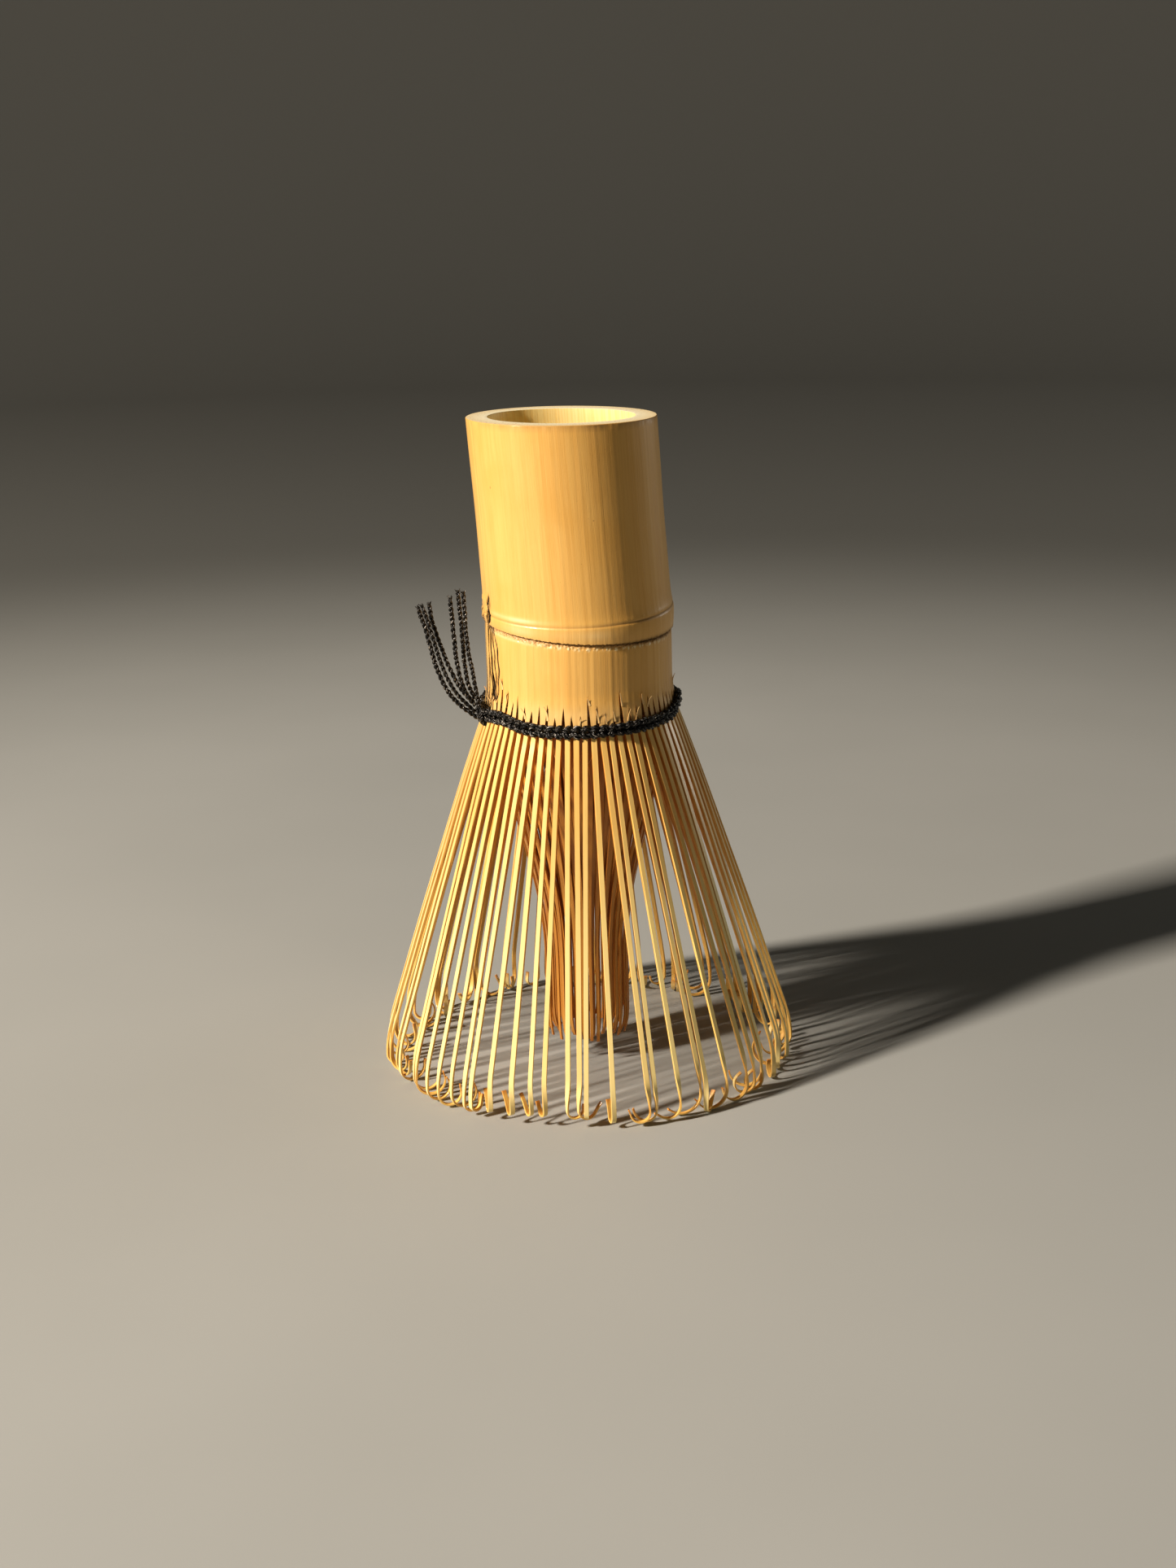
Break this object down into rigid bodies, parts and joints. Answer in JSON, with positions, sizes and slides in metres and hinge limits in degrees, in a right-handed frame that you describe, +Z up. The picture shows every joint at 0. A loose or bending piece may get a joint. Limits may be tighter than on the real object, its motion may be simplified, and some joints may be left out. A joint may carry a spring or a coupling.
{
  "type": "tea whisk",
  "caption": "Bamboo tea whisk with a hollow handle, a node ring, two crowns of fine springy tines and a black woven thread with loose ends.",
  "frame": {"origin": "centre of the plane of the tine tips, on which the whisk stands", "axes": "+Z up through the handle, -Y to the front, -X to the side with the knot and the bud scar"},
  "size_m": [0.0696, 0.0696, 0.11],
  "materials": {
    "culm": "semi-gloss bamboo skin",
    "pith": "matt bamboo pith",
    "outer_tines": "split bamboo, skin side out",
    "inner_tines": "split bamboo, matt",
    "thread": "waxed black cotton"
  },
  "bodies": {
    "handle": {"handle_tube": "culm", "node_ring": "culm", "node_septum": "pith", "root_comb": "culm", "thread_row_upper": "thread", "thread_row_lower": "thread", "thread_inner_row": "thread", "thread_knot": "thread", "thread_tail_1": "thread", "thread_tail_2": "thread", "thread_tail_3": "thread", "thread_tail_4": "thread", "thread_tail_5": "thread", "thread_tail_6": "thread"},
    "outer_01": {"outer_tines_01": "outer_tines"},
    "outer_02": {"outer_tines_02": "outer_tines"},
    "outer_03": {"outer_tines_03": "outer_tines"},
    "outer_04": {"outer_tines_04": "outer_tines"},
    "outer_05": {"outer_tines_05": "outer_tines"},
    "outer_06": {"outer_tines_06": "outer_tines"},
    "outer_07": {"outer_tines_07": "outer_tines"},
    "outer_08": {"outer_tines_08": "outer_tines"},
    "outer_09": {"outer_tines_09": "outer_tines"},
    "outer_10": {"outer_tines_10": "outer_tines"},
    "outer_11": {"outer_tines_11": "outer_tines"},
    "outer_12": {"outer_tines_12": "outer_tines"},
    "outer_13": {"outer_tines_13": "outer_tines"},
    "outer_14": {"outer_tines_14": "outer_tines"},
    "outer_15": {"outer_tines_15": "outer_tines"},
    "outer_16": {"outer_tines_16": "outer_tines"},
    "outer_17": {"outer_tines_17": "outer_tines"},
    "outer_18": {"outer_tines_18": "outer_tines"},
    "outer_19": {"outer_tines_19": "outer_tines"},
    "outer_20": {"outer_tines_20": "outer_tines"},
    "outer_21": {"outer_tines_21": "outer_tines"},
    "outer_22": {"outer_tines_22": "outer_tines"},
    "outer_23": {"outer_tines_23": "outer_tines"},
    "outer_24": {"outer_tines_24": "outer_tines"},
    "inner_01": {"inner_tines_01": "inner_tines"},
    "inner_02": {"inner_tines_02": "inner_tines"},
    "inner_03": {"inner_tines_03": "inner_tines"},
    "inner_04": {"inner_tines_04": "inner_tines"},
    "inner_05": {"inner_tines_05": "inner_tines"},
    "inner_06": {"inner_tines_06": "inner_tines"},
    "inner_07": {"inner_tines_07": "inner_tines"},
    "inner_08": {"inner_tines_08": "inner_tines"},
    "inner_09": {"inner_tines_09": "inner_tines"},
    "inner_10": {"inner_tines_10": "inner_tines"},
    "inner_11": {"inner_tines_11": "inner_tines"},
    "inner_12": {"inner_tines_12": "inner_tines"}
  },
  "joints": [
    {"name": "outer_01_flex", "type": "hinge", "parent": "handle", "child": "outer_01", "pos_m": [0.01606, 0.0007, 0.0608], "axis": [0.0436, -0.999, 0], "range_deg": [-6, 8], "stiffness_Nm_per_rad": 0.005},
    {"name": "outer_02_flex", "type": "hinge", "parent": "handle", "child": "outer_02", "pos_m": [0.01534, 0.00483, 0.0608], "axis": [0.3007, -0.9537, 0], "range_deg": [-6, 8], "stiffness_Nm_per_rad": 0.005},
    {"name": "outer_03_flex", "type": "hinge", "parent": "handle", "child": "outer_03", "pos_m": [0.01356, 0.00864, 0.0608], "axis": [0.5373, -0.8434, 0], "range_deg": [-6, 8], "stiffness_Nm_per_rad": 0.005},
    {"name": "outer_04_flex", "type": "hinge", "parent": "handle", "child": "outer_04", "pos_m": [0.01086, 0.01185, 0.0608], "axis": [0.7373, -0.6756, 0], "range_deg": [-6, 8], "stiffness_Nm_per_rad": 0.005},
    {"name": "outer_05_flex", "type": "hinge", "parent": "handle", "child": "outer_05", "pos_m": [0.00743, 0.01426, 0.0608], "axis": [0.887, -0.4617, 0], "range_deg": [-6, 8], "stiffness_Nm_per_rad": 0.005},
    {"name": "outer_06_flex", "type": "hinge", "parent": "handle", "child": "outer_06", "pos_m": [0.00348, 0.0157, 0.0608], "axis": [0.9763, -0.2164, 0], "range_deg": [-6, 8], "stiffness_Nm_per_rad": 0.005},
    {"name": "outer_07_flex", "type": "hinge", "parent": "handle", "child": "outer_07", "pos_m": [-0.0007, 0.01606, 0.0608], "axis": [0.999, 0.0436, 0], "range_deg": [-6, 8], "stiffness_Nm_per_rad": 0.005},
    {"name": "outer_08_flex", "type": "hinge", "parent": "handle", "child": "outer_08", "pos_m": [-0.00483, 0.01534, 0.0608], "axis": [0.9537, 0.3007, 0], "range_deg": [-6, 8], "stiffness_Nm_per_rad": 0.005},
    {"name": "outer_09_flex", "type": "hinge", "parent": "handle", "child": "outer_09", "pos_m": [-0.00864, 0.01356, 0.0608], "axis": [0.8434, 0.5373, 0], "range_deg": [-6, 8], "stiffness_Nm_per_rad": 0.005},
    {"name": "outer_10_flex", "type": "hinge", "parent": "handle", "child": "outer_10", "pos_m": [-0.01185, 0.01086, 0.0608], "axis": [0.6756, 0.7373, 0], "range_deg": [-6, 8], "stiffness_Nm_per_rad": 0.005},
    {"name": "outer_11_flex", "type": "hinge", "parent": "handle", "child": "outer_11", "pos_m": [-0.01426, 0.00743, 0.0608], "axis": [0.4617, 0.887, 0], "range_deg": [-6, 8], "stiffness_Nm_per_rad": 0.005},
    {"name": "outer_12_flex", "type": "hinge", "parent": "handle", "child": "outer_12", "pos_m": [-0.0157, 0.00348, 0.0608], "axis": [0.2164, 0.9763, 0], "range_deg": [-6, 8], "stiffness_Nm_per_rad": 0.005},
    {"name": "outer_13_flex", "type": "hinge", "parent": "handle", "child": "outer_13", "pos_m": [-0.01606, -0.0007, 0.0608], "axis": [-0.0436, 0.999, 0], "range_deg": [-6, 8], "stiffness_Nm_per_rad": 0.005},
    {"name": "outer_14_flex", "type": "hinge", "parent": "handle", "child": "outer_14", "pos_m": [-0.01534, -0.00483, 0.0608], "axis": [-0.3007, 0.9537, 0], "range_deg": [-6, 8], "stiffness_Nm_per_rad": 0.005},
    {"name": "outer_15_flex", "type": "hinge", "parent": "handle", "child": "outer_15", "pos_m": [-0.01356, -0.00864, 0.0608], "axis": [-0.5373, 0.8434, 0], "range_deg": [-6, 8], "stiffness_Nm_per_rad": 0.005},
    {"name": "outer_16_flex", "type": "hinge", "parent": "handle", "child": "outer_16", "pos_m": [-0.01086, -0.01185, 0.0608], "axis": [-0.7373, 0.6756, 0], "range_deg": [-6, 8], "stiffness_Nm_per_rad": 0.005},
    {"name": "outer_17_flex", "type": "hinge", "parent": "handle", "child": "outer_17", "pos_m": [-0.00743, -0.01426, 0.0608], "axis": [-0.887, 0.4617, 0], "range_deg": [-6, 8], "stiffness_Nm_per_rad": 0.005},
    {"name": "outer_18_flex", "type": "hinge", "parent": "handle", "child": "outer_18", "pos_m": [-0.00348, -0.0157, 0.0608], "axis": [-0.9763, 0.2164, 0], "range_deg": [-6, 8], "stiffness_Nm_per_rad": 0.005},
    {"name": "outer_19_flex", "type": "hinge", "parent": "handle", "child": "outer_19", "pos_m": [0.0007, -0.01606, 0.0608], "axis": [-0.999, -0.0436, 0], "range_deg": [-6, 8], "stiffness_Nm_per_rad": 0.005},
    {"name": "outer_20_flex", "type": "hinge", "parent": "handle", "child": "outer_20", "pos_m": [0.00483, -0.01534, 0.0608], "axis": [-0.9537, -0.3007, 0], "range_deg": [-6, 8], "stiffness_Nm_per_rad": 0.005},
    {"name": "outer_21_flex", "type": "hinge", "parent": "handle", "child": "outer_21", "pos_m": [0.00864, -0.01356, 0.0608], "axis": [-0.8434, -0.5373, 0], "range_deg": [-6, 8], "stiffness_Nm_per_rad": 0.005},
    {"name": "outer_22_flex", "type": "hinge", "parent": "handle", "child": "outer_22", "pos_m": [0.01185, -0.01086, 0.0608], "axis": [-0.6756, -0.7373, 0], "range_deg": [-6, 8], "stiffness_Nm_per_rad": 0.005},
    {"name": "outer_23_flex", "type": "hinge", "parent": "handle", "child": "outer_23", "pos_m": [0.01426, -0.00743, 0.0608], "axis": [-0.4617, -0.887, 0], "range_deg": [-6, 8], "stiffness_Nm_per_rad": 0.005},
    {"name": "outer_24_flex", "type": "hinge", "parent": "handle", "child": "outer_24", "pos_m": [0.0157, -0.00348, 0.0608], "axis": [-0.2164, -0.9763, 0], "range_deg": [-6, 8], "stiffness_Nm_per_rad": 0.005},
    {"name": "inner_01_flex", "type": "hinge", "parent": "handle", "child": "inner_01", "pos_m": [0.01364, 0.0006, 0.0608], "axis": [0.0436, -0.999, 0], "range_deg": [0, 6], "stiffness_Nm_per_rad": 0.005},
    {"name": "inner_02_flex", "type": "hinge", "parent": "handle", "child": "inner_02", "pos_m": [0.01151, 0.00733, 0.0608], "axis": [0.5373, -0.8434, 0], "range_deg": [0, 6], "stiffness_Nm_per_rad": 0.005},
    {"name": "inner_03_flex", "type": "hinge", "parent": "handle", "child": "inner_03", "pos_m": [0.0063, 0.01211, 0.0608], "axis": [0.887, -0.4617, 0], "range_deg": [0, 6], "stiffness_Nm_per_rad": 0.005},
    {"name": "inner_04_flex", "type": "hinge", "parent": "handle", "child": "inner_04", "pos_m": [-0.0006, 0.01364, 0.0608], "axis": [0.999, 0.0436, 0], "range_deg": [0, 6], "stiffness_Nm_per_rad": 0.005},
    {"name": "inner_05_flex", "type": "hinge", "parent": "handle", "child": "inner_05", "pos_m": [-0.00733, 0.01151, 0.0608], "axis": [0.8434, 0.5373, 0], "range_deg": [0, 6], "stiffness_Nm_per_rad": 0.005},
    {"name": "inner_06_flex", "type": "hinge", "parent": "handle", "child": "inner_06", "pos_m": [-0.01211, 0.0063, 0.0608], "axis": [0.4617, 0.887, 0], "range_deg": [0, 6], "stiffness_Nm_per_rad": 0.005},
    {"name": "inner_07_flex", "type": "hinge", "parent": "handle", "child": "inner_07", "pos_m": [-0.01364, -0.0006, 0.0608], "axis": [-0.0436, 0.999, 0], "range_deg": [0, 6], "stiffness_Nm_per_rad": 0.005},
    {"name": "inner_08_flex", "type": "hinge", "parent": "handle", "child": "inner_08", "pos_m": [-0.01151, -0.00733, 0.0608], "axis": [-0.5373, 0.8434, 0], "range_deg": [0, 6], "stiffness_Nm_per_rad": 0.005},
    {"name": "inner_09_flex", "type": "hinge", "parent": "handle", "child": "inner_09", "pos_m": [-0.0063, -0.01211, 0.0608], "axis": [-0.887, 0.4617, 0], "range_deg": [0, 6], "stiffness_Nm_per_rad": 0.005},
    {"name": "inner_10_flex", "type": "hinge", "parent": "handle", "child": "inner_10", "pos_m": [0.0006, -0.01364, 0.0608], "axis": [-0.999, -0.0436, 0], "range_deg": [0, 6], "stiffness_Nm_per_rad": 0.005},
    {"name": "inner_11_flex", "type": "hinge", "parent": "handle", "child": "inner_11", "pos_m": [0.00733, -0.01151, 0.0608], "axis": [-0.8434, -0.5373, 0], "range_deg": [0, 6], "stiffness_Nm_per_rad": 0.005},
    {"name": "inner_12_flex", "type": "hinge", "parent": "handle", "child": "inner_12", "pos_m": [0.01211, -0.0063, 0.0608], "axis": [-0.4617, -0.887, 0], "range_deg": [0, 6], "stiffness_Nm_per_rad": 0.005}
  ]
}
